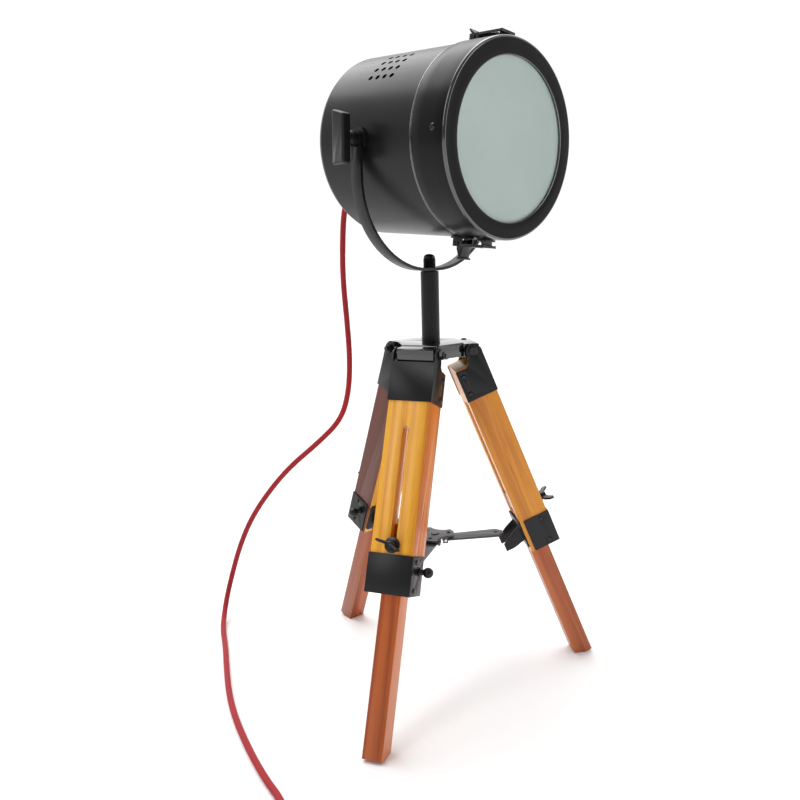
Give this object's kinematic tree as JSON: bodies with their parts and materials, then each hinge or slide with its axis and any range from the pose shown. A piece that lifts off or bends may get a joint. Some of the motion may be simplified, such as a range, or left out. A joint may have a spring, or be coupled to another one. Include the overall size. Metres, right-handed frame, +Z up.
{
  "type": "tripod spotlight lamp",
  "caption": "Studio-style spotlight head with a frosted lens in a tilting yoke, on a small wooden tripod with adjustable folding legs and a red fabric-covered lead.",
  "frame": {"origin": "centre of the lamp's bounding box on the floor, lead left out", "axes": "+Z up, -Y towards the front leg's side, +X towards the right leg"},
  "size_m": [0.4463, 0.4766, 0.6569],
  "materials": {
    "wood_upper": "clear honey lacquer",
    "wood_lower": "clear brown lacquer",
    "grey_steel": "grey hammered enamel",
    "frosted_glass": "frosted",
    "bulb_glass": "opal",
    "bright_steel": "bright",
    "red_fabric": "braided textile cover",
    "black_plastic": "moulded black",
    "gloss_black": "gloss black enamel",
    "satin_black": "satin black powder coat",
    "black_steel": "black enamel"
  },
  "bodies": {
    "root": {"top_plate": "gloss_black", "plate_screws": "black_steel", "spindle_tube": "black_steel", "spindle_stud": "black_steel", "pivot_bolts": "black_steel", "cord_upper": "red_fabric", "cord_lower": "red_fabric", "cord_coil": "red_fabric", "plug": "black_plastic"},
    "yoke": {"yoke_strap": "satin_black"},
    "head": {"body_shell": "satin_black", "rear_cover": "satin_black", "front_bezel": "satin_black", "bezel_screws": "black_steel", "lens_glass": "frosted_glass", "lens_ring": "satin_black", "pivot_bosses": "black_steel", "lamp_bracket": "black_steel", "lampholder": "black_plastic", "bulb_cap": "bright_steel", "bulb_glass": "bulb_glass", "cable_gland": "black_plastic", "switch_housing": "black_plastic", "latch_plates": "black_steel"},
    "knob_left": {"tilt_knob_left": "black_plastic"},
    "knob_right": {"tilt_knob_right": "black_plastic"},
    "latch_top": {"latch_lever_top": "black_steel"},
    "latch_bottom": {"latch_lever_bottom": "black_steel"},
    "rocker": {"switch_rocker": "black_plastic"},
    "hub": {"spreader_hub": "grey_steel", "hub_pins": "bright_steel"},
    "leg_a": {"leg_bracket_a": "black_steel", "upper_leg_a": "wood_upper", "leg_collar_a": "black_steel", "leg_screws_a": "black_steel", "arm_bracket_a": "black_steel"},
    "stick_a": {"lower_leg_a": "wood_lower"},
    "wing_a": {"wing_screw_a": "black_steel"},
    "knob_a": {"collar_knob_a": "black_plastic"},
    "arm_a": {"spreader_arm_a": "grey_steel"},
    "leg_b": {"leg_bracket_b": "black_steel", "upper_leg_b": "wood_upper", "leg_collar_b": "black_steel", "leg_screws_b": "black_steel", "arm_bracket_b": "black_steel"},
    "stick_b": {"lower_leg_b": "wood_lower"},
    "wing_b": {"wing_screw_b": "black_steel"},
    "knob_b": {"collar_knob_b": "black_plastic"},
    "arm_b": {"spreader_arm_b": "grey_steel"},
    "leg_c": {"leg_bracket_c": "black_steel", "upper_leg_c": "wood_upper", "leg_collar_c": "black_steel", "leg_screws_c": "black_steel", "arm_bracket_c": "black_steel"},
    "stick_c": {"lower_leg_c": "wood_lower"},
    "wing_c": {"wing_screw_c": "black_steel"},
    "knob_c": {"collar_knob_c": "black_plastic"},
    "arm_c": {"spreader_arm_c": "grey_steel"}
  },
  "joints": [
    {"name": "yoke_pan", "type": "hinge", "parent": "root", "child": "yoke", "pos_m": [-0.03009, 0.01155, 0.44], "axis": [0, 0, 1], "range_deg": [-90, 90], "deforming": ["cord_upper", "cord_lower"]},
    {"name": "head_tilt", "type": "hinge", "parent": "yoke", "child": "head", "pos_m": [-0.03009, 0.01155, 0.5589], "axis": [0.7325, 0.6807, 0], "range_deg": [-45, 18], "deforming": ["cord_upper"]},
    {"name": "knob_left_turn", "type": "hinge", "parent": "yoke", "child": "knob_left", "pos_m": [-0.03009, 0.01155, 0.5589], "axis": [0.7325, 0.6807, 0], "continuous": true},
    {"name": "knob_right_turn", "type": "hinge", "parent": "yoke", "child": "knob_right", "pos_m": [-0.03009, 0.01155, 0.5589], "axis": [0.7325, 0.6807, 0], "continuous": true},
    {"name": "latch_top_lift", "type": "hinge", "parent": "head", "child": "latch_top", "pos_m": [0.01905, -0.02955, 0.6474], "axis": [-0.7268, -0.6814, 0.087], "range_deg": [0, 60]},
    {"name": "latch_bottom_lift", "type": "hinge", "parent": "head", "child": "latch_bottom", "pos_m": [0.001, -0.03367, 0.46443], "axis": [0.7268, 0.6814, -0.087], "range_deg": [0, 60]},
    {"name": "switch_press", "type": "hinge", "parent": "head", "child": "rocker", "pos_m": [-0.05449, 0.08203, 0.52631], "axis": [0.0344, -0.0371, 0.9987], "range_deg": [-12, 0]},
    {"name": "leg_a_fold", "type": "hinge", "parent": "root", "child": "leg_a", "pos_m": [-0.04468, -0.02493, 0.3573], "axis": [0.9285, -0.3714, 0], "range_deg": [0, 17]},
    {"name": "leg_a_extend", "type": "slide", "parent": "leg_a", "child": "stick_a", "axis": [-0.1397, -0.3493, -0.9265], "range_m": [-0.11, 0]},
    {"name": "wing_a_turn", "type": "hinge", "parent": "stick_a", "child": "wing_a", "pos_m": [-0.07323, -0.09633, 0.18788], "axis": [-0.3441, -0.8603, 0.3762], "continuous": true},
    {"name": "knob_a_turn", "type": "hinge", "parent": "leg_a", "child": "knob_a", "pos_m": [-0.04981, -0.09701, 0.16043], "axis": [0.9285, -0.3714, 0], "continuous": true},
    {"name": "leg_b_fold", "type": "hinge", "parent": "root", "child": "leg_b", "pos_m": [0.00881, 0.01716, 0.3573], "axis": [-0.1426, 0.9898, 0], "range_deg": [0, 17]},
    {"name": "leg_b_extend", "type": "slide", "parent": "leg_b", "child": "stick_b", "axis": [0.3724, 0.0537, -0.9265], "range_m": [-0.11, 0]},
    {"name": "wing_b_turn", "type": "hinge", "parent": "stick_b", "child": "wing_b", "pos_m": [0.08492, 0.02813, 0.18788], "axis": [0.9171, 0.1321, 0.3762], "continuous": true},
    {"name": "knob_b_turn", "type": "hinge", "parent": "leg_b", "child": "knob_b", "pos_m": [0.0738, 0.04875, 0.16043], "axis": [-0.1426, 0.9898, 0], "continuous": true},
    {"name": "leg_c_fold", "type": "hinge", "parent": "root", "child": "leg_c", "pos_m": [-0.05439, 0.04244, 0.3573], "axis": [-0.7859, -0.6184, 0], "range_deg": [0, 17]},
    {"name": "leg_c_extend", "type": "slide", "parent": "leg_c", "child": "stick_c", "axis": [-0.2327, 0.2957, -0.9265], "range_m": [-0.11, 0]},
    {"name": "wing_c_turn", "type": "hinge", "parent": "stick_c", "child": "wing_c", "pos_m": [-0.10194, 0.10286, 0.18788], "axis": [-0.573, 0.7281, 0.3762], "continuous": true},
    {"name": "knob_c_turn", "type": "hinge", "parent": "leg_c", "child": "knob_c", "pos_m": [-0.11424, 0.08292, 0.16043], "axis": [-0.7859, -0.6184, 0], "continuous": true},
    {"name": "hub_rise", "type": "slide", "parent": "root", "child": "hub", "axis": [0, 0, 1], "range_m": [0, 0.058]},
    {"name": "arm_a_swing", "type": "hinge", "parent": "hub", "child": "arm_a", "pos_m": [-0.0338, 0.00227, 0.1507], "axis": [0.9285, -0.3714, 0], "range_deg": [0, 76]},
    {"name": "arm_b_swing", "type": "hinge", "parent": "hub", "child": "arm_b", "pos_m": [-0.02019, 0.01298, 0.1507], "axis": [-0.1426, 0.9898, 0], "range_deg": [0, 76]},
    {"name": "arm_c_swing", "type": "hinge", "parent": "hub", "child": "arm_c", "pos_m": [-0.03627, 0.01941, 0.1507], "axis": [-0.7859, -0.6184, 0], "range_deg": [0, 76]}
  ],
  "couplings": [
    {"joint": "leg_b_fold", "follows": "leg_a_fold", "ratio": 1},
    {"joint": "leg_c_fold", "follows": "leg_a_fold", "ratio": 1},
    {"joint": "hub_rise", "follows": "leg_a_fold", "m_per_rad": 0.19353},
    {"joint": "arm_a_swing", "follows": "leg_a_fold", "ratio": 4.44},
    {"joint": "arm_b_swing", "follows": "leg_a_fold", "ratio": 4.44},
    {"joint": "arm_c_swing", "follows": "leg_a_fold", "ratio": 4.44}
  ]
}
